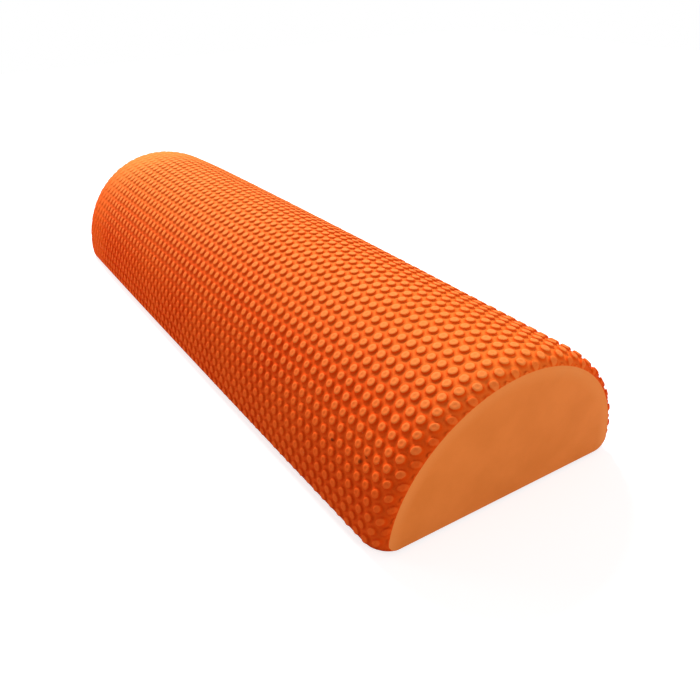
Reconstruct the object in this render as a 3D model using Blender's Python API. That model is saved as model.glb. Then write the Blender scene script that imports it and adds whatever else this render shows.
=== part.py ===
"""Half round foam roller for floor exercise and therapy work.

A closed-cell foam core of D section runs the whole length. A moulded foam cover is wrapped over its
round side and turned under both lower corners, and a smooth base sheet closes the flat underside
between the cover's two lips. The three pieces are bonded to each other and end flush in one flat
face at each end of the roller, where the moulding is rolled in.

Metres, +Z up. The roller lies along X on its flat side, and the origin is the middle of the underside.
"""

import math

import bmesh
import bpy
from mathutils import Matrix

# Whole roller, over the moulded surface, at the middle of its length
length = 0.450
width = 0.150
height = 0.075
corner_radius = 0.004

# How it narrows: a little towards both ends, and then the rolled-in ends themselves
end_shrink = 0.0008
end_roll_depth = 0.0055
end_roll_length = 0.013
end_corner_radius = 0.006
end_lift = 0.0018

# Cover and base sheet, moulded to one thickness
skin_thickness = 0.006
cover_lip = 0.014

# Core
core_corner_radius = 0.0025

# Clearance between neighbouring pieces, and how far a cutter runs past what it cuts
fit_gap = 0.0003
cut_overrun = 0.010

# Smoothness: straight pieces in the round side, in each lower corner, and along the roller
round_side_pieces = 72
corner_pieces = 6
end_roll_pieces = 4
half_length_pieces = 3


def collection_named(name):
    """A new collection in the scene."""
    collection = bpy.data.collections.new(name)
    bpy.context.scene.collection.children.link(collection)
    return collection


def foam(name, colour, roughness):
    """A matt closed-cell foam of one colour."""
    material = bpy.data.materials.new(name)
    material.use_nodes = True
    shader = material.node_tree.nodes["Principled BSDF"]
    shader.inputs["Base Color"].default_value = (*colour, 1.0)
    shader.inputs["Roughness"].default_value = roughness
    shader.inputs["Metallic"].default_value = 0.0
    return material


def rolled_in(x):
    """How far the rolling in of an end has gone at one place: 0 along the roller, 1 at its end face."""
    start = length / 2 - end_roll_length
    return (max(0.0, min(abs(x), length / 2) - start) / end_roll_length) ** 2


def narrowing(x):
    """How far the outside at one place along the roller lies inside the widest place."""
    return end_shrink * min(2 * abs(x) / length, 1.0) ** 2 + end_roll_depth * rolled_in(x)


def stations(overrun):
    """Places along the roller where its section is drawn, closest over the rolled-in ends."""
    straight = length / 2 - end_roll_length
    half = [straight * i / half_length_pieces for i in range(half_length_pieces + 1)]
    half += [straight + end_roll_length * (i + 1) / end_roll_pieces for i in range(end_roll_pieces)]
    if overrun:
        half.append(length / 2 + overrun)
    return [-x for x in reversed(half[1:])] + half


def arc(centre, radius, start, end, pieces):
    """Points along a circular arc in the section's plane, angles counted from the section's right."""
    angles = [start + (end - start) * i / pieces for i in range(pieces + 1)]
    return [(centre[0] + radius * math.cos(a), centre[1] + radius * math.sin(a)) for a in angles]


def half_round(half_width, tall, floor, radius):
    """Outline of a half round standing on the height floor, from the right end of its flat, up round
    the corner, over the round side and down to the left end of the flat.

    The round side is one circular arc, tangent to both corner arcs and level at the top.
    """
    corner_y = half_width - radius
    side_radius = (corner_y**2 + (tall - radius) ** 2 - radius**2) / (2 * (tall - 2 * radius))
    side_centre_z = tall - side_radius
    meet = math.atan2(radius - side_centre_z, corner_y)
    right = arc((corner_y, floor + radius), radius, -math.pi / 2, meet, corner_pieces)
    side = arc((0.0, floor + side_centre_z), side_radius, meet, math.pi - meet, round_side_pieces)
    left = arc((-corner_y, floor + radius), radius, math.pi - meet, 3 * math.pi / 2, corner_pieces)
    return right + side[1:-1] + left


def outside_at(x):
    """Section of the whole roller at one place along it."""
    lift = end_lift * rolled_in(x)
    radius = corner_radius + (end_corner_radius - corner_radius) * rolled_in(x)
    return half_round(width / 2 - narrowing(x), height - narrowing(x) - lift, lift, radius)


def inside_at(x, inset, radius):
    """Section lying one distance inside the moulded surface, at one place along the roller."""
    half_width = width / 2 - narrowing(x) - inset
    return half_round(half_width, height - narrowing(x) - 2 * inset, inset, radius)


def loft(name, sections, collection):
    """A closed solid through outlines of equally many points, given with their places along X."""
    mesh = bpy.data.meshes.new(name)
    bm = bmesh.new()
    rings = [[bm.verts.new((x, y, z)) for y, z in outline] for x, outline in sections]
    for near, far in zip(rings, rings[1:]):
        for i in range(len(near)):
            bm.faces.new((near[i - 1], near[i], far[i], far[i - 1]))
    bm.faces.new(rings[0])
    bm.faces.new(rings[-1])
    bmesh.ops.recalc_face_normals(bm, faces=bm.faces)
    bm.to_mesh(mesh)
    bm.free()
    solid = bpy.data.objects.new(name, mesh)
    collection.objects.link(solid)
    return solid


def slab(name, size, centre, collection):
    """A plain rectangular block."""
    mesh = bpy.data.meshes.new(name)
    bm = bmesh.new()
    bmesh.ops.create_cube(bm, size=1.0, matrix=Matrix.Diagonal((*size, 1.0)))
    bm.to_mesh(mesh)
    bm.free()
    block = bpy.data.objects.new(name, mesh)
    block.location = centre
    collection.objects.link(block)
    return block


def cut_with(target, tool, operation):
    """Cut one solid with another, keeping what the operation says."""
    boolean = target.modifiers.new(operation.lower(), "BOOLEAN")
    boolean.operation = operation
    boolean.solver = "EXACT"
    boolean.object = tool


def finish(solid, material):
    """Keep the shape that the modifiers give, shade it smooth with crisp edges, and colour it."""
    bpy.context.view_layer.update()
    evaluated = solid.evaluated_get(bpy.context.evaluated_depsgraph_get())
    mesh = bpy.data.meshes.new_from_object(evaluated)
    mesh.name = solid.name
    solid.modifiers.clear()
    solid.data = mesh
    mesh.shade_smooth()
    mesh.set_sharp_from_angle(angle=math.radians(35))
    mesh.materials.clear()
    mesh.materials.append(material)


def hide_as_guide(solid):
    """Show a cutter as wires only, and leave it out of the finished roller."""
    solid.display_type = "WIRE"
    solid.hide_render = True


def whole_roller(name, collection):
    """The outside of the whole roller in one piece."""
    return loft(name, [(x, outside_at(x)) for x in stations(0.0)], collection)


for old in list(bpy.data.objects):
    bpy.data.objects.remove(old)

parts = collection_named("half_round_foam_roller")
cutters = collection_named("cutters")

# Half the distance between the cover's lips, where they meet the base sheet
lip_edge = width / 2 - corner_radius - cover_lip

# Core: the inside of the skin, less the clearance
core_inset = skin_thickness + fit_gap
core_sections = [(x, inside_at(x, core_inset, core_corner_radius)) for x in stations(0.0)]
core = loft("foam_core", core_sections, parts)
finish(core, foam("core_foam", (0.66, 0.20, 0.05), 0.85))

# Cover: the whole roller, less the room for the core and the opening for the base sheet
opening_left = [(-lip_edge, skin_thickness), (-lip_edge, -cut_overrun)]
opening_right = [(lip_edge, -cut_overrun), (lip_edge, skin_thickness)]
room_sections = []
for x in stations(cut_overrun):
    hollow = inside_at(x, skin_thickness, core_corner_radius + fit_gap)
    room_sections.append((x, opening_right + hollow + opening_left))
room = loft("core_room", room_sections, cutters)
hide_as_guide(room)
cover = whole_roller("textured_cover", parts)
cut_with(cover, room, "DIFFERENCE")
finish(cover, foam("cover_foam", (0.80, 0.13, 0.01), 0.55))

# Base sheet: a flat slab between the lips, its ends following the outside of the roller
base_height = skin_thickness + cut_overrun
base_size = (length + 2 * cut_overrun, 2 * (lip_edge - fit_gap), base_height)
base = slab("base_sheet", base_size, (0.0, 0.0, skin_thickness - base_height / 2), parts)
outside = whole_roller("base_trim", cutters)
hide_as_guide(outside)
cut_with(base, outside, "INTERSECT")
finish(base, foam("base_foam", (0.78, 0.15, 0.02), 0.6))
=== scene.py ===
import math

import bmesh
import bpy
import numpy as np
from mathutils import Matrix, Vector


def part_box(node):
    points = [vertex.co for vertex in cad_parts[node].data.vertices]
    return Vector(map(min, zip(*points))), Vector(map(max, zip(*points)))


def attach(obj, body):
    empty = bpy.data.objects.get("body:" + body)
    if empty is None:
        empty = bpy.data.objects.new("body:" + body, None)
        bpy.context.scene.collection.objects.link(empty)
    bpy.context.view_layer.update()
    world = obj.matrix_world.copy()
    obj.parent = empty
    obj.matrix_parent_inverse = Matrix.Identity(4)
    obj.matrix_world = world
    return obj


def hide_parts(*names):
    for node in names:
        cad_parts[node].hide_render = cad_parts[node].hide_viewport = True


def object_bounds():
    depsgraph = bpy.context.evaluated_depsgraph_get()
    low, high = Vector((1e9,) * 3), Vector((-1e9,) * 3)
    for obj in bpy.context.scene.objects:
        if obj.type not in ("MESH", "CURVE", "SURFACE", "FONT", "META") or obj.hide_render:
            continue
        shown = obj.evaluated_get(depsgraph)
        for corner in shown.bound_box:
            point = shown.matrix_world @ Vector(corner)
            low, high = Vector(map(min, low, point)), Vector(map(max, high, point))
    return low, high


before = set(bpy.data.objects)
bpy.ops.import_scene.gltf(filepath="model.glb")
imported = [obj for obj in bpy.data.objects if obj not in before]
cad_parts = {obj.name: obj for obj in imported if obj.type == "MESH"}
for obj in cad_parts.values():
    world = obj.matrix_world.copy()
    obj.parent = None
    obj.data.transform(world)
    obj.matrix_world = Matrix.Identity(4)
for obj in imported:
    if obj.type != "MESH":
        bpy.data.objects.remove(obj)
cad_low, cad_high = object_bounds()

# Foam core
# A bar of closed-cell foam with a half round section, cast in a block, skived to shape and sawn off
# flat at both ends. It fills the skin, and its sawn ends are most of the roller's end faces.
half_length = cad_high.x
half_width = cad_high.y
crown_height = cad_high.z
skin_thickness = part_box("base_sheet")[1].z
end_shrink = 0.0008
end_roll_depth = 0.0055
end_roll_length = 0.013
end_corner_radius = 0.006
end_lift = 0.0018
bond_line = 0.00001
core_corner_radius = 0.0025
station_count = 9
side_steps = 64
corner_steps = 5
crease_angle = math.radians(40)


def rolled_in(x):
    """How far the rolling in of an end has gone, for an array of places along the roller.

    It is 0 up to where the rolled end starts and grows with the square of the way from there to 1 at
    the end face.
    """
    start = half_length - end_roll_length
    return (np.clip(np.abs(x) - start, 0.0, end_roll_length) / end_roll_length) ** 2


def side_circle(wide, tall, radius):
    """Radius of the round side, and how far its centre lies below the section's top.

    The circle is level at the top and tangent to the corner arcs, whose centres are radius inside
    the section's width and radius above its flat.
    """
    return ((wide - radius) ** 2 + (tall - radius) ** 2 - radius**2) / (2 * (tall - 2 * radius))


def half_round(way, wide, top, floor, radius, flat_end):
    """Points on a half round section and the outward directions there, as arrays of y and z.

    way is 0 at the crown and 1 where the round side meets the lower corner, 2 where the corner meets
    the flat and 3 at flat_end on the flat, with a minus sign on the left. Both arcs are walked by
    their angle from straight up, which grows evenly with way.
    """
    side = np.sign(way)
    way = np.abs(way)
    corner_y = wide - radius
    side_radius = side_circle(wide, top - floor, radius)
    centre_z = top - side_radius
    meet = np.pi / 2 - np.arctan2(floor + radius - centre_z, corner_y)
    on_side = np.clip(way, 0, 1) * meet
    turn = np.where(way < 1, on_side, meet + (np.pi - meet) * np.clip(way - 1, 0, 1))
    along_flat = np.clip(way - 2, 0, 1)
    y = np.where(way < 1, side_radius * np.sin(on_side), corner_y + radius * np.sin(turn))
    y = np.where(way > 2, corner_y + (flat_end - corner_y) * along_flat, y)
    corner_z = floor + radius + radius * np.cos(turn)
    z = np.where(way < 1, centre_z + side_radius * np.cos(on_side), corner_z)
    return side * y, z, side * np.sin(turn), np.cos(turn)


def stations(count):
    """Places along the roller, evenly spaced and then closer over the rolled-in ends."""
    straight = np.linspace(0.0, half_length - end_roll_length, count)
    rolled = half_length - end_roll_length + end_roll_length * np.linspace(0.0, 1.0, count)[1:]
    half = np.concatenate((straight, rolled))
    return np.concatenate((-half[:0:-1], half))


def ways_round():
    """Values of way over a whole section, from the left end of the flat to its right end."""
    side = np.linspace(0.0, 1.0, side_steps + 1)
    corner = np.linspace(1.0, 2.0, corner_steps + 1)[1:]
    half = np.concatenate((side, corner, [3.0]))
    return np.concatenate((-half[:0:-1], half))


def inner_sheet(way, inset, radius, flat_end):
    """Points of a sheet that lies one distance inside the moulded outside: a grid of the stations
    along the roller by the places round its section.

    Its half width and crown height are those of the outside at each station, less the inset, and its
    flat lies the inset above the floor.
    """
    x, way = np.meshgrid(stations(station_count), way, indexing="ij")
    lost = end_shrink * (x / half_length) ** 2 + end_roll_depth * rolled_in(x) + inset
    y, z, _, _ = half_round(way, half_width - lost, crown_height - lost, inset, radius, flat_end)
    return np.stack((x, y, z), axis=-1)


def quads_over(numbers):
    """The four corners of each square in a grid of point numbers."""
    corners = (numbers[:-1, :-1], numbers[:-1, 1:], numbers[1:, 1:], numbers[1:, :-1])
    return np.stack(corners, axis=-1).reshape(-1, 4).tolist()


def foam_object(name, points, faces):
    """A mesh object from points and faces, at the origin, with its faces turned outward."""
    mesh = bpy.data.meshes.new(name)
    mesh.from_pydata(points.tolist(), [], faces)
    bm = bmesh.new()
    bm.from_mesh(mesh)
    bmesh.ops.recalc_face_normals(bm, faces=bm.faces)
    bm.to_mesh(mesh)
    bm.free()
    piece = bpy.data.objects.new(name, mesh)
    bpy.context.scene.collection.objects.link(piece)
    return piece


core_grid = inner_sheet(ways_round()[1:], skin_thickness + bond_line, core_corner_radius, 0.0)
core_numbers = np.arange(core_grid[..., 0].size).reshape(core_grid.shape[:2])
core_faces = quads_over(np.concatenate((core_numbers, core_numbers[:, :1]), axis=1))
core_faces += [core_numbers[0].tolist(), core_numbers[-1].tolist()]
core = foam_object("cut_foam_core", core_grid.reshape(-1, 3), core_faces)
core.data.shade_smooth()
core.data.set_sharp_from_angle(angle=crease_angle)


def add_node(tree, kind, settings=(), links=()):
    """A new node with its settings made and its inputs linked or set."""
    node = tree.nodes.new(kind)
    for setting, value in settings:
        setattr(node, setting, value)
    for socket, value in links:
        if isinstance(value, bpy.types.NodeSocket):
            tree.links.new(value, node.inputs[socket])
        else:
            node.inputs[socket].default_value = value
    return node


def spread(tree, value, low, high, to_low=0.0, to_high=1.0):
    """One stretch of a value mapped onto another, and held at its ends."""
    links = (
        ("Value", value),
        ("From Min", low),
        ("From Max", high),
        ("To Min", to_low),
        ("To Max", to_high),
    )
    return add_node(tree, "ShaderNodeMapRange", (), links).outputs["Result"]


def worked_out(tree, operation, *given):
    """The result of an operation on one or two values."""
    settings = (("operation", operation),)
    return add_node(tree, "ShaderNodeMath", settings, enumerate(given)).outputs[0]


def vector_worked_out(tree, operation, *given):
    """The results of an operation on one or two places: a vector first, and a value under its name."""
    settings = (("operation", operation),)
    return add_node(tree, "ShaderNodeVectorMath", settings, enumerate(given)).outputs


def blend(tree, share, low, high):
    """A colour mix from low to high by a share."""
    settings = (("data_type", "RGBA"),)
    return add_node(tree, "ShaderNodeMix", settings, ((0, share), (6, low), (7, high))).outputs[2]


def foam_grain_group():
    """Closed-cell foam, as a shader group: soft clouds of another tone, fine cells, and their relief.

    A broad noise takes the base colour part way to the cloud colour. A fine noise takes that part way
    to the cell colour, and is also the height of the relief.
    """
    group = bpy.data.node_groups.new("foam_grain", "ShaderNodeTree")
    inputs = (
        ("Base", "NodeSocketColor"),
        ("Cloud", "NodeSocketColor"),
        ("Cell", "NodeSocketColor"),
        ("Cloud Scale", "NodeSocketFloat"),
        ("Cloud Share", "NodeSocketFloat"),
        ("Cell Scale", "NodeSocketFloat"),
        ("Cell Share", "NodeSocketFloat"),
        ("Relief", "NodeSocketFloat"),
    )
    outputs = (
        ("Color", "NodeSocketColor"),
        ("Cells", "NodeSocketFloat"),
        ("Normal", "NodeSocketVector"),
    )
    for name, kind in inputs:
        group.interface.new_socket(name, in_out="INPUT", socket_type=kind)
    for name, kind in outputs:
        group.interface.new_socket(name, in_out="OUTPUT", socket_type=kind)
    given = group.nodes.new("NodeGroupInput").outputs
    place = group.nodes.new("ShaderNodeTexCoord").outputs["Object"]
    noises = []
    for scale in ("Cloud Scale", "Cell Scale"):
        links = (("Vector", place), ("Scale", given[scale]), ("Detail", 3.0), ("Roughness", 0.55))
        noises.append(add_node(group, "ShaderNodeTexNoise", (), links).outputs["Fac"])
    clouds = spread(group, noises[0], 0.36, 0.64, 0.0, given["Cloud Share"])
    cells = spread(group, noises[1], 0.34, 0.68)
    cell_share = worked_out(group, "MULTIPLY", cells, given["Cell Share"])
    clouded = blend(group, clouds, given["Base"], given["Cloud"])
    celled = blend(group, cell_share, clouded, given["Cell"])
    bump_links = (("Height", cells), ("Distance", given["Relief"]), ("Strength", 0.5))
    relief = add_node(group, "ShaderNodeBump", (), bump_links)
    result = group.nodes.new("NodeGroupOutput").inputs
    group.links.new(celled, result["Color"])
    group.links.new(cells, result["Cells"])
    group.links.new(relief.outputs["Normal"], result["Normal"])
    return group


foam_grain = foam_grain_group()


def foam_material(name, values):
    """A new foam material: its node tree, its shader, and the foam grain with these values."""
    material = bpy.data.materials.new(name)
    material.use_nodes = True
    tree = material.node_tree
    shader = tree.nodes["Principled BSDF"]
    grain = add_node(tree, "ShaderNodeGroup", (("node_tree", foam_grain),), values)
    tree.links.new(grain.outputs["Color"], shader.inputs["Base Color"])
    tree.links.new(grain.outputs["Normal"], shader.inputs["Normal"])
    return material, tree, shader, grain


def opaque(colour):
    """A colour as a socket takes it."""
    return (*colour, 1.0)


def sawn_foam():
    """Sawn closed-cell foam: matt, a little paler than the moulded skin and paler still in the cover's
    own thickness round the outline, softly clouded and finely pored.

    The paler edge follows the distance from the centre of the round side's circle at the end face.
    """
    end_loss = end_shrink + end_roll_depth
    end_top = crown_height - end_loss
    end_radius = side_circle(half_width - end_loss, end_top - end_lift, end_corner_radius)
    values = (
        ("Cloud", opaque((0.880, 0.235, 0.040))),
        ("Cell", opaque((0.620, 0.130, 0.016))),
        ("Cloud Scale", 46.0),
        ("Cloud Share", 0.75),
        ("Cell Scale", 2400.0),
        ("Cell Share", 0.12),
        ("Relief", 0.00010),
    )
    material, tree, shader, grain = foam_material("sawn_foam", values)
    place = tree.nodes.new("ShaderNodeTexCoord").outputs["Object"]
    centre = (0.0, 0.0, end_top - end_radius)
    section_only = (0.0, 1.0, 1.0)
    from_centre = vector_worked_out(tree, "SUBTRACT", place, centre)[0]
    across = vector_worked_out(tree, "MULTIPLY", from_centre, section_only)[0]
    distance = vector_worked_out(tree, "LENGTH", across)["Value"]
    pale_from = end_radius - 1.2 * skin_thickness
    pale_to = end_radius - skin_thickness / 3
    near_edge = spread(tree, distance, pale_from, pale_to)
    base = blend(tree, near_edge, opaque((0.800, 0.205, 0.030)), opaque((0.880, 0.262, 0.055)))
    tree.links.new(base, grain.inputs["Base"])
    shader.inputs["Roughness"].default_value = 0.75
    shader.inputs["Specular IOR Level"].default_value = 0.20
    return material


foam_cut = sawn_foam()
core.data.materials.append(foam_cut)
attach(core, "root")
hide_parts("foam_core")

# Nubbed cover
# A moulded foam skin about 6 mm thick, covered in flat round nubs with a dimple in each top, in
# staggered rows along the roller. It is bonded round the core and turned under both lower corners.
nub_height = 0.0011
nub_pitch = 0.00700
row_pitch = 0.00611
first_nub_x = 0.15445
first_nub_v = -0.04303
row_skew = -0.0038
nub_foot_radius = 0.00250
rim_radius = 0.0006
cover_corner_radius = 0.0040
cover_lip = 0.0140
lip_edge = half_width - cover_corner_radius - cover_lip
lip_round_width = 0.0006
lip_round_depth = 0.0004
rim_edge_width = 0.0008
spokes = 12

valley_corner = cover_corner_radius - nub_height
valley_corner_y = half_width - nub_height - valley_corner
valley_tall = crown_height - nub_height
valley_radius = side_circle(half_width - nub_height, valley_tall, valley_corner)
valley_meet = math.pi / 2 - math.atan2(valley_corner - valley_tall + valley_radius, valley_corner_y)
side_run = valley_radius * valley_meet
corner_run = valley_corner * (math.pi - valley_meet)
lip_run = valley_corner_y - lip_edge
v_end = side_run + corner_run + lip_run
edge_reach = 0.97
edge_fall = 1 - math.sqrt(1 - edge_reach**2)


def valley_loss(x):
    """How much smaller than in the middle the ground between the nubs is, at places along the roller.

    It is the even shrink plus the depth of the rounded edge, less the nubs, which end there. The edge
    follows an ellipse, level at its start, for most of a quarter of it: with the way past the start t
    as a share of the rolled end's length, the depth grows as 1 - sqrt(1 - (edge_reach t)^2).
    """
    past = np.clip(np.abs(x) - half_length + end_roll_length, 0, end_roll_length) / end_roll_length
    turned = (1 - np.sqrt(1 - (edge_reach * past) ** 2)) / edge_fall
    return end_shrink * (x / half_length) ** 2 + (end_roll_depth - nub_height) * turned


rim_steepness = edge_reach**2 / math.sqrt(1 - edge_reach**2) / edge_fall
rim_slope = math.atan((end_roll_depth - nub_height) / end_roll_length * rim_steepness)
rim_start = half_length - rim_radius * (1 - math.sin(rim_slope))
walk_count = 80
walk_turn = np.linspace(0.0, math.asin(edge_reach), walk_count)
walk_x = half_length - end_roll_length + end_roll_length * np.sin(walk_turn) / edge_reach
walk_x = np.minimum(walk_x, rim_start)
walk_x = np.concatenate(([0.0], walk_x))
walk_steps = np.hypot(np.diff(walk_x), np.diff(valley_loss(walk_x)))
walk_run = np.concatenate(([0.0], np.cumsum(walk_steps)))
rim_run = rim_radius * (math.pi / 2 - rim_slope)
s_end = walk_run[-1] + rim_run
spare_rows = 4
spare_columns = 4


def cover_profile(s):
    """Place x along the roller and loss of the section there, for arrays of the run s over the
    ground between the nubs, from the middle of the roller.

    Up to the rim the run is walked along the curve of the loss over x. Then it follows part of a
    small round, from the edge's slope to straight inward in the plane of the end face.
    """
    run = np.abs(s)
    x = np.interp(run, walk_run, walk_x)
    loss = valley_loss(x)
    turned = rim_slope + np.clip(run - walk_run[-1], 0, rim_run) / rim_radius
    past = run > walk_run[-1]
    x = np.where(past, rim_start + rim_radius * (np.sin(turned) - math.sin(rim_slope)), x)
    loss = np.where(past, loss + rim_radius * (math.cos(rim_slope) - np.cos(turned)), loss)
    return np.sign(s) * x, loss


def way_of(v):
    """Place round the section, from the run v across the cover laid out flat."""
    run = np.abs(v)
    way = np.where(run < side_run, run / side_run, 1 + (run - side_run) / corner_run)
    return np.sign(v) * np.where(way > 2, 2 + (run - side_run - corner_run) / lip_run, way)


def wrapped(s, v, rise):
    """The flat layout carried onto the half round: each point goes to its place round the section at
    x, and out from there by its rise, which shrinks to nothing round the lower corner."""
    x, loss = cover_profile(s)
    rolled = rolled_in(x)
    radius = valley_corner + (end_corner_radius - valley_corner) * rolled
    floor = end_lift * rolled
    wide = half_width - nub_height - loss
    top = crown_height - nub_height - loss
    y, z, out_y, out_z = half_round(way_of(v), wide, top, floor, radius, lip_edge)
    rise = rise * np.where(rise > 0, np.clip((z - floor) / valley_corner, 0, 1), 1)
    return np.stack((x, y + rise * out_y, z + rise * out_z), axis=-1)


def nub_centres():
    """Centres of all the nubs on the cover laid out flat, s along the roller and v across it.

    The rows run along the roller, and every other row is half a pitch further on. A few rows and
    columns lie past the edges, so that the cut field is whole there.
    """
    row_count = int(2 * v_end / row_pitch) + 2 * spare_rows
    column_count = int(2 * s_end / nub_pitch) + 2 * spare_columns
    first_row = -int((v_end + first_nub_v) / row_pitch) - spare_rows
    rows, columns = np.meshgrid(
        first_row + np.arange(row_count), np.arange(column_count), indexing="ij"
    )
    start = first_nub_x + nub_pitch * rows / 2
    start = start - nub_pitch * np.floor((start + s_end) / nub_pitch + spare_columns / 2)
    return (start + nub_pitch * columns).ravel(), (first_nub_v + row_pitch * rows).ravel()


def share_border():
    """Border of one nub's share of the ground: the six corners and six edge middles of a hexagon,
    which it has in common with the nubs round it."""
    shoulder = (row_pitch**2 - nub_pitch**2 / 4) / (2 * row_pitch)
    tip = row_pitch - shoulder
    half = nub_pitch / 2
    corners = [(half, shoulder), (0.0, tip), (-half, shoulder)]
    corners = np.array(corners + [(-half, -shoulder), (0.0, -tip), (half, -shoulder)])
    border = np.empty((spokes, 2))
    border[0::2] = (corners + np.roll(corners, 1, axis=0)) / 2
    border[1::2] = corners
    return border


near_fade_start = 0.0002
near_fade_length = 0.0016
far_fade_length = 0.0600
near_fade_least = 0.90
far_fade_least = 0.25
# How the painted highlight on the nubs' tops weakens towards the rims.
top_highlight_start = 0.0050
top_highlight_least = 0.35
corner_fade_start = 0.0025
corner_fade_length = 0.0045
nub_scatter = 0.00006
flattened_scatter = 0.0006
size_scatter_share = 0.03
height_scatter_share = 0.05
crumple_share = 0.025
pressed_crumple_share = 0.08
nub_seed = 7
ring_radius_shares = np.array([0.26, 0.44, 0.76, 0.92, 1.05])
ring_height_shares = np.array([0.90, 1.0, 0.95, 0.60, 0.02])
# Ring tones below 0, on the shoulder and foot, are painted shade on the nubs' walls; tones above 0 are
# a painted highlight on their tops.
ring_tones = np.array([0.70, 1.0, 0.8, -0.8, -0.4])


def nub_field():
    """Every nub of the cover with the ground round it, laid out flat, as points and faces: s along
    the roller, v across the round side from its crown, and the rise above the ground. The third
    value given is the tone of each point, which the skin turns into painted light and shade: from 1
    on a nub's top to less than 0 on its wall and 0 on the ground.

    A nub is five rings of points round its centre: the dimple's floor, its edge, the edge of the top,
    the shoulder and the foot, each a share of the foot's radius out and a share of the height up.
    Nubs near an end are pressed down, the more the nearer, and out of round, and the painted
    highlight on the tops of the last ones at the rims is weaker.
    """
    rng = np.random.default_rng(nub_seed)
    centre_s, centre_v = nub_centres()
    border = share_border()
    spoke = border / np.linalg.norm(border, axis=1)[:, None]
    count = centre_s.size
    size = 1 + size_scatter_share * rng.standard_normal(count)
    tall = 1 + height_scatter_share * rng.standard_normal(count)
    shift = nub_scatter * rng.standard_normal((count, 2))
    from_rim = s_end - np.abs(centre_s) + flattened_scatter * rng.standard_normal(count)
    near_fade = np.clip((from_rim - near_fade_start) / near_fade_length, near_fade_least, 1)
    far_fade = np.clip(from_rim / far_fade_length, far_fade_least, 1)
    end_fade = np.where(centre_s > 0, near_fade, far_fade)
    from_corner = side_run + corner_fade_start - np.abs(centre_v + row_skew * centre_s)
    tall = tall * end_fade * np.clip(from_corner / corner_fade_length, 0, 1)
    uneven = (crumple_share + pressed_crumple_share * (1 - near_fade))[:, None]
    crumple = 1 + uneven * rng.standard_normal((count, spokes))

    reach = nub_foot_radius * size[:, None, None] * crumple[:, None, :] * ring_radius_shares[:, None]
    rings = np.empty((count, len(ring_radius_shares), spokes, 3))
    rings[..., 0] = (centre_s + shift[:, 0])[:, None, None] + reach * spoke[:, 0]
    rings[..., 1] = (centre_v + shift[:, 1])[:, None, None] + reach * spoke[:, 1]
    rings[..., 2] = nub_height * tall[:, None, None] * ring_height_shares[:, None]
    ground = np.zeros((count, spokes, 3))
    ground[..., 0] = centre_s[:, None] + border[:, 0]
    ground[..., 1] = centre_v[:, None] + border[:, 1]
    points = np.concatenate((rings.reshape(count, -1, 3), ground), axis=1)
    points[..., 1] += row_skew * points[..., 0]

    base = (np.arange(count) * points.shape[1])[:, None, None]
    ring = np.arange(len(ring_radius_shares))[:, None] * spokes
    this = np.arange(spokes)
    following = (this + 1) % spokes
    corners = (ring + this, ring + spokes + this, ring + spokes + following, ring + following)
    quads = base[..., None] + np.stack(corners, axis=-1)
    tops = base[:, 0] + this
    tone = np.zeros((count, points.shape[1]))
    ring_tone = np.repeat(ring_tones, spokes)
    # The painted highlight on the nubs' tops is weaker near the rims.
    top_highlight_share = np.clip(from_rim / top_highlight_start, top_highlight_least, 1)[:, None]
    tone[:, : ring_tone.size] = ring_tone * np.where(ring_tone > 0, top_highlight_share, 1) * end_fade[:, None]
    return points.reshape(-1, 3), quads.reshape(-1, 4).tolist() + tops.tolist(), tone.ravel()


merge_distance = nub_pitch / 5000
cut_distance = nub_pitch / 20000
bend_shares = (0.0, 0.25, 0.5, 0.75, 1.0)


def trimmed_field():
    """The nub field cut to the cover's length and width, with extra cuts across it where the rim and
    the lip's edge bend."""
    points, faces, tone = nub_field()
    mesh = bpy.data.meshes.new("nub_field")
    mesh.from_pydata(points.tolist(), [], faces)
    mesh.attributes.new("tone", "FLOAT", "POINT").data.foreach_set("value", tone)
    bm = bmesh.new()
    bm.from_mesh(mesh)
    bmesh.ops.remove_doubles(bm, verts=bm.verts, dist=merge_distance)
    for side in (-1, 1):
        for axis, limit, bends in ((0, s_end, rim_run), (1, v_end, lip_round_width)):
            direction = Vector((0, 0, 0))
            direction[axis] = side
            for back in bend_shares:
                bmesh.ops.bisect_plane(
                    bm,
                    geom=bm.verts[:] + bm.edges[:] + bm.faces[:],
                    dist=cut_distance,
                    plane_co=direction * (limit - back * bends),
                    plane_no=direction,
                    clear_outer=back == 0.0,
                )
    bm.to_mesh(mesh)
    bm.free()
    return mesh


def strip_between(left, left_place, right, right_place):
    """Triangles joining two rows of points with unlike counts.

    Each stretch of one row is joined to the point of the other row that its middle lies beside.
    """
    left_middle = (left_place[1:] + left_place[:-1]) / 2
    right_middle = (right_place[1:] + right_place[:-1]) / 2
    beside_left = right[np.searchsorted(right_middle, left_middle, side="left")]
    beside_right = left[np.searchsorted(left_middle, right_middle, side="right")]
    from_left = np.stack((left[:-1], left[1:], beside_left), axis=-1)
    from_right = np.stack((beside_right, right[1:], right[:-1]), axis=-1)
    return np.concatenate((from_left, from_right)).tolist()


field = trimmed_field()
flat = np.empty(len(field.vertices) * 3)
field.vertices.foreach_get("co", flat)
flat = flat.reshape(-1, 3)
# The nubs' rise runs out just before the end faces, and the lips are eased where they meet the base.
rise = flat[:, 2] * np.clip((s_end - np.abs(flat[:, 0])) / rim_edge_width, 0, 1)
lip_round = np.clip(1 - (v_end - np.abs(flat[:, 1])) / lip_round_width, 0, 1)
lip_round = lip_round**2 * (1 - rolled_in(flat[:, 0]))
cover_points = wrapped(flat[:, 0], flat[:, 1], rise - lip_round_depth * lip_round)

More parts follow.
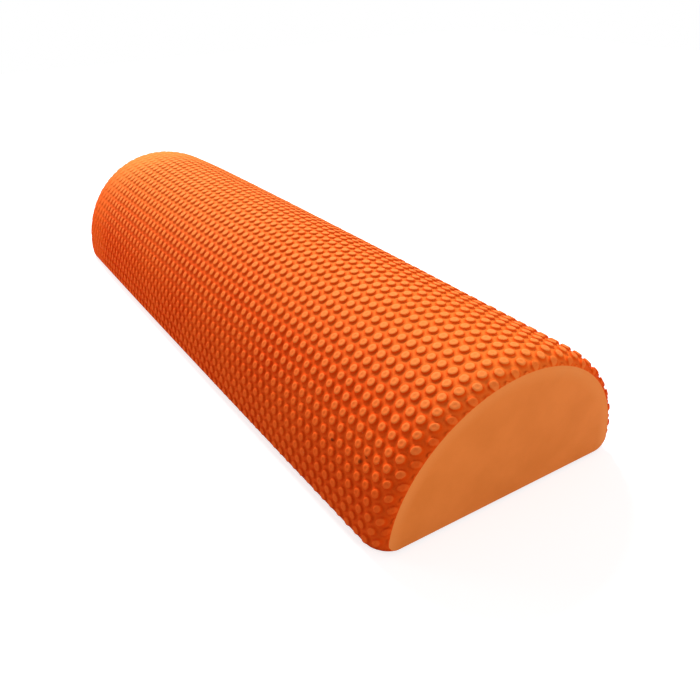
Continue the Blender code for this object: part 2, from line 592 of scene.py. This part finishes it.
inner_grid = inner_sheet(ways_round(), skin_thickness, core_corner_radius + bond_line, lip_edge)
inner_numbers = len(cover_points) + np.arange(inner_grid[..., 0].size).reshape(inner_grid.shape[:2])
cover_faces = [tuple(polygon.vertices) for polygon in field.polygons]
skin_face_count = len(cover_faces)
edge_slack = nub_pitch / 1000
for side, column in ((-1, 0), (1, -1)):
    lip = np.flatnonzero(np.abs(flat[:, 1] - side * v_end) < edge_slack)
    lip = lip[np.argsort(flat[lip, 0])]
    lip_x = cover_profile(flat[lip, 0])[0]
    cover_faces += strip_between(lip, lip_x, inner_numbers[:, column], stations(station_count))
cover_faces += quads_over(inner_numbers)
first_rim_face = len(cover_faces)
for side, row in ((-1, 0), (1, -1)):
    rim = np.flatnonzero(np.abs(flat[:, 0] - side * s_end) < edge_slack)
    rim = rim[np.argsort(flat[rim, 1])]
    cover_faces += strip_between(rim, way_of(flat[rim, 1]), inner_numbers[row], ways_round())

cover_points = np.concatenate((cover_points, inner_grid.reshape(-1, 3)))
cover = foam_object("nubbed_foam_cover", cover_points, cover_faces)
tone = np.zeros(len(cover_points))
field_tone = np.empty(len(flat))
field.attributes["tone"].data.foreach_get("value", field_tone)
tone[: len(flat)] = field_tone
cover.data.attributes.new("tone", "FLOAT", "POINT").data.foreach_set("value", tone)
material_numbers = np.zeros(len(cover_faces), dtype=np.int32)
material_numbers[first_rim_face:] = 1
cover.data.polygons.foreach_set("material_index", material_numbers)
smooth_faces = np.arange(len(cover_faces)) < skin_face_count
cover.data.polygons.foreach_set("use_smooth", smooth_faces)
bpy.data.meshes.remove(field)


# Painted shade between the nubs at the rims: the ground there takes part of the wall colour.
rim_shade_start = 0.0055
rim_shade_full = 0.0020
skin_marks = (
    (0.1770, -0.0660, 0.0336, 0.0010),
    (0.1983, -0.0652, 0.0346, 0.0011),
    (0.2004, -0.0632, 0.0375, 0.0009),
)


def moulded_skin():
    """Moulded foam skin: matt, with painted shade that makes it deepest in colour on the nubs' walls
    and deep between them at the rims, and a painted highlight that makes it paler on their tops.
    Painted light makes it paler all over towards the crown, and there towards the end at minus X;
    on the ground it shows only high up. A few small dark marks lie on the skin, each given by its
    place and its reach.

    The tone runs from below 0 on a nub's wall over 0 on the ground to 1 on its top.
    """
    values = (
        ("Cloud", opaque((0.950, 0.175, 0.016))),
        ("Cell", opaque((0.720, 0.060, 0.002))),
        ("Cloud Scale", 20.0),
        ("Cloud Share", 0.18),
        ("Cell Scale", 1700.0),
        ("Cell Share", 0.12),
        ("Relief", 0.00010),
    )
    material, tree, shader, grain = foam_material("moulded_skin", values)
    tone = add_node(tree, "ShaderNodeAttribute", (("attribute_name", "tone"),)).outputs["Fac"]
    place = tree.nodes.new("ShaderNodeTexCoord").outputs["Object"]
    parts = add_node(tree, "ShaderNodeSeparateXYZ", (), ((0, place),)).outputs
    height = parts["Z"]
    # Painted light: the skin is paler towards the crown, and its ground only high up.
    crown_light = spread(tree, height, 0.40 * crown_height, crown_height)
    ground_crown_light = spread(tree, height, 0.68 * crown_height, crown_height)
    ground = blend(tree, ground_crown_light, opaque((0.810, 0.081, 0.007)), opaque((0.920, 0.222, 0.034)))
    # The top colour is a painted highlight on the nubs' tops, paler towards the crown.
    top = blend(tree, crown_light, opaque((0.900, 0.116, 0.015)), opaque((0.960, 0.285, 0.070)))
    # The wall colour is painted shade on the nubs' walls, a little paler towards the crown.
    wall = blend(tree, crown_light, opaque((0.720, 0.043, 0.001)), opaque((0.770, 0.066, 0.001)))
    along = worked_out(tree, "ABSOLUTE", parts["X"])
    # Painted shade on the ground near the rims.
    painted_rim_shade = spread(tree, along, half_length - rim_shade_start, half_length - rim_shade_full, 0.0, 0.30)
    upper = blend(tree, spread(tree, tone, 0.1, 0.9), blend(tree, painted_rim_shade, ground, wall), top)
    whole = blend(tree, spread(tree, tone, -0.7, 0.0, 1.0, 0.0), upper, wall)
    # Painted light: the skin is paler and yellower towards the end at minus X, more so towards the
    # crown.
    far_end_light = spread(tree, parts["X"], 0.2 * half_length, -0.9 * half_length, 0.0, crown_light)
    skin = blend(tree, far_end_light, whole, blend(tree, 0.35, whole, opaque((0.930, 0.380, 0.085))))
    for x, y, z, reach in skin_marks:
        apart = vector_worked_out(tree, "DISTANCE", place, (x, y, z))["Value"]
        mark = spread(tree, apart, 0.5 * reach, 1.2 * reach, 0.9, 0.0)
        skin = blend(tree, mark, skin, opaque((0.100, 0.014, 0.004)))
    tree.links.new(skin, grain.inputs["Base"])
    roughness = spread(tree, grain.outputs["Cells"], 0.0, 1.0, 0.72, 0.84)
    tree.links.new(roughness, shader.inputs["Roughness"])
    shader.inputs["Specular IOR Level"].default_value = 0.02
    return material


cover.data.materials.append(moulded_skin())
cover.data.materials.append(foam_cut)
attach(cover, "root")
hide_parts("textured_cover")

# Base sheet
# A flat sheet of the same foam with a smooth moulded face, bonded under the core between the cover's
# two lips. Its long edges are eased a little, so the seams show as two fine grooves underneath.
base_half_width = lip_edge - bond_line
base_edge_width = 0.0006
base_edge_depth = 0.0004
base_columns = 9
base_edge_columns = 4
base_eased = base_half_width - base_edge_width * np.linspace(1.0, 0.0, base_edge_columns)
base_middle = np.linspace(-base_eased[0], base_eased[0], base_columns)[1:-1]
base_y = np.concatenate((-base_eased[::-1], base_middle, base_eased))
base_grid_x, base_grid_y = np.meshgrid(stations(station_count), base_y, indexing="ij")
base_rolled = rolled_in(base_grid_x)
base_eased_share = np.clip(1 - (base_half_width - np.abs(base_grid_y)) / base_edge_width, 0, 1) ** 2
base_under_z = end_lift * base_rolled + base_edge_depth * base_eased_share * (1 - base_rolled)
base_top_z = np.full_like(base_under_z, skin_thickness - bond_line)
base_points = np.concatenate(
    [
        np.stack((base_grid_x, base_grid_y, z), axis=-1).reshape(-1, 3)
        for z in (base_under_z, base_top_z)
    ]
)
base_under = np.arange(base_grid_x.size).reshape(base_grid_x.shape)
base_top = base_under + base_grid_x.size
base_faces = quads_over(base_under) + quads_over(base_top)
base_faces += quads_over(np.stack((base_under[:, 0], base_top[:, 0])))
base_faces += quads_over(np.stack((base_under[:, -1], base_top[:, -1])))
base_end_faces = len(base_faces)
base_faces += quads_over(np.stack((base_under[0], base_top[0])))
base_faces += quads_over(np.stack((base_under[-1], base_top[-1])))
base = foam_object("smooth_base_sheet", base_points, base_faces)
base_materials = np.zeros(len(base_faces), dtype=np.int32)
base_materials[base_end_faces:] = 1
base.data.polygons.foreach_set("material_index", base_materials)
base.data.shade_smooth()
base.data.set_sharp_from_angle(angle=crease_angle)


def smooth_skin():
    """The base sheet's smooth moulded face: satin, with a faint leathery grain and soft clouds."""
    values = (
        ("Base", opaque((0.740, 0.125, 0.010))),
        ("Cloud", opaque((0.840, 0.175, 0.022))),
        ("Cell", opaque((0.560, 0.080, 0.005))),
        ("Cloud Scale", 16.0),
        ("Cloud Share", 0.80),
        ("Cell Scale", 600.0),
        ("Cell Share", 0.25),
        ("Relief", 0.00015),
    )
    material, tree, shader, grain = foam_material("smooth_skin", values)
    roughness = spread(tree, grain.outputs["Cells"], 0.0, 1.0, 0.48, 0.62)
    tree.links.new(roughness, shader.inputs["Roughness"])
    shader.inputs["Specular IOR Level"].default_value = 0.28
    return material


base.data.materials.append(smooth_skin())
base.data.materials.append(foam_cut)
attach(base, "root")
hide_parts("base_sheet")

# Floor and room
# A pale floor that the camera sees as near white, with the roller's soft shadow kept, and a plain
# white room round it. The floor ends where it is still lit, so its edge doesn't show, and it is
# clear from below.
floor_reach = 1.5
floor_drop = 0.0002
floor_grey = 0.52
floor_glow = 0.72
room_strength = 0.40
floor_corners = [
    (x * floor_reach, y * floor_reach, -floor_drop) for x, y in ((-1, -1), (1, -1), (1, 1), (-1, 1))
]
floor_mesh = bpy.data.meshes.new("floor")
floor_mesh.from_pydata(floor_corners, [], [(0, 1, 2, 3)])
floor = bpy.data.objects.new("floor", floor_mesh)
bpy.context.scene.collection.objects.link(floor)
floor_material = bpy.data.materials.new("pale_floor")
floor_material.use_nodes = True
floor_tree = floor_material.node_tree
floor_shader = floor_tree.nodes["Principled BSDF"]
floor_shader.inputs["Base Color"].default_value = opaque((floor_grey, floor_grey, floor_grey))
floor_shader.inputs["Roughness"].default_value = 0.9
floor_shader.inputs["Specular IOR Level"].default_value = 0.0
floor_seen = add_node(floor_tree, "ShaderNodeLightPath").outputs["Is Camera Ray"]
floor_strength = worked_out(floor_tree, "MULTIPLY", floor_seen, floor_glow)
floor_light = add_node(floor_tree, "ShaderNodeEmission", (), (("Strength", floor_strength),))
floor_lit = add_node(
    floor_tree, "ShaderNodeAddShader", (), ((0, floor_shader.outputs[0]), (1, floor_light.outputs[0]))
)
floor_behind = add_node(floor_tree, "ShaderNodeNewGeometry").outputs["Backfacing"]
floor_clear = add_node(floor_tree, "ShaderNodeBsdfTransparent").outputs[0]
floor_sides = ((0, floor_behind), (1, floor_lit.outputs[0]), (2, floor_clear))
floor_mix = add_node(floor_tree, "ShaderNodeMixShader", (), floor_sides)
floor_tree.links.new(floor_mix.outputs[0], floor_tree.nodes["Material Output"].inputs["Surface"])
floor.data.materials.append(floor_material)

world = bpy.data.worlds.new("white_room")
bpy.context.scene.world = world
world.use_nodes = True
world_tree = world.node_tree
white = opaque((1.0, 1.0, 1.0))
room_light = world_tree.nodes["Background"]
room_light.inputs["Color"].default_value = white
room_light.inputs["Strength"].default_value = room_strength
room_seen = add_node(world_tree, "ShaderNodeBackground", (), (("Color", white), ("Strength", 1.0)))
room_rays = add_node(world_tree, "ShaderNodeLightPath").outputs["Is Camera Ray"]
room_sides = ((0, room_rays), (1, room_light.outputs[0]), (2, room_seen.outputs[0]))
room_mix = add_node(world_tree, "ShaderNodeMixShader", (), room_sides)
world_tree.links.new(room_mix.outputs[0], world_tree.nodes["World Output"].inputs["Surface"])


def soft_lamp(name, place, aim, width, watts):
    """A square soft light at a place, facing another."""
    lamp = bpy.data.lights.new(name, "AREA")
    lamp.size = width
    lamp.energy = watts
    holder = bpy.data.objects.new(name, lamp)
    holder.location = place
    holder.rotation_mode = "QUATERNION"
    holder.rotation_quaternion = (Vector(aim) - Vector(place)).to_track_quat("-Z", "Y")
    holder.visible_camera = False
    bpy.context.scene.collection.objects.link(holder)


soft_lamp("overhead_light", (-2.2, 0.55, 2.2), (0.0, 0.0, 0.03), 0.7, 130.0)
soft_lamp("side_light", (-0.50, -0.60, 0.25), (-0.18, -0.06, 0.03), 0.30, 1.5)
soft_lamp("end_light", (1.9, 0.5, 0.6), (0.2, 0.0, 0.03), 0.9, 14.0)

# Camera
# It stands close in front of the near end, above the roller, and looks along it as the photograph
# was taken. The picture is a crop taken a little high in its frame, which the small shift repeats.
camera_place = Vector((0.37344, -0.17948, 0.20007))
camera_bearing = -0.55594
camera_down = 0.71505
camera_roll = -0.02741
frame_pixels = 700
focal_pixels = 620.64
sensor_width = 36.0
level = math.cos(camera_down)
forward = Vector(
    (-level * math.cos(camera_bearing), -level * math.sin(camera_bearing), -math.sin(camera_down))
)
right = forward.cross(Vector((0.0, 0.0, 1.0))).normalized()
up = right.cross(forward)
turned_right = right * math.cos(camera_roll) + up * math.sin(camera_roll)
turned_up = up * math.cos(camera_roll) - right * math.sin(camera_roll)
camera_data = bpy.data.cameras.new("camera")
camera_data.sensor_width = sensor_width
camera_data.lens = focal_pixels / frame_pixels * sensor_width
camera_data.shift_y = 0.2
camera_data.clip_start = 0.01
camera_data.clip_end = 50.0
camera = bpy.data.objects.new("camera", camera_data)
bpy.context.scene.collection.objects.link(camera)
camera.matrix_world = Matrix.Translation(camera_place) @ Matrix(
    (turned_right, turned_up, -forward)
).transposed().to_4x4()
bpy.context.scene.camera = camera
bpy.context.scene.view_settings.view_transform = "Standard"
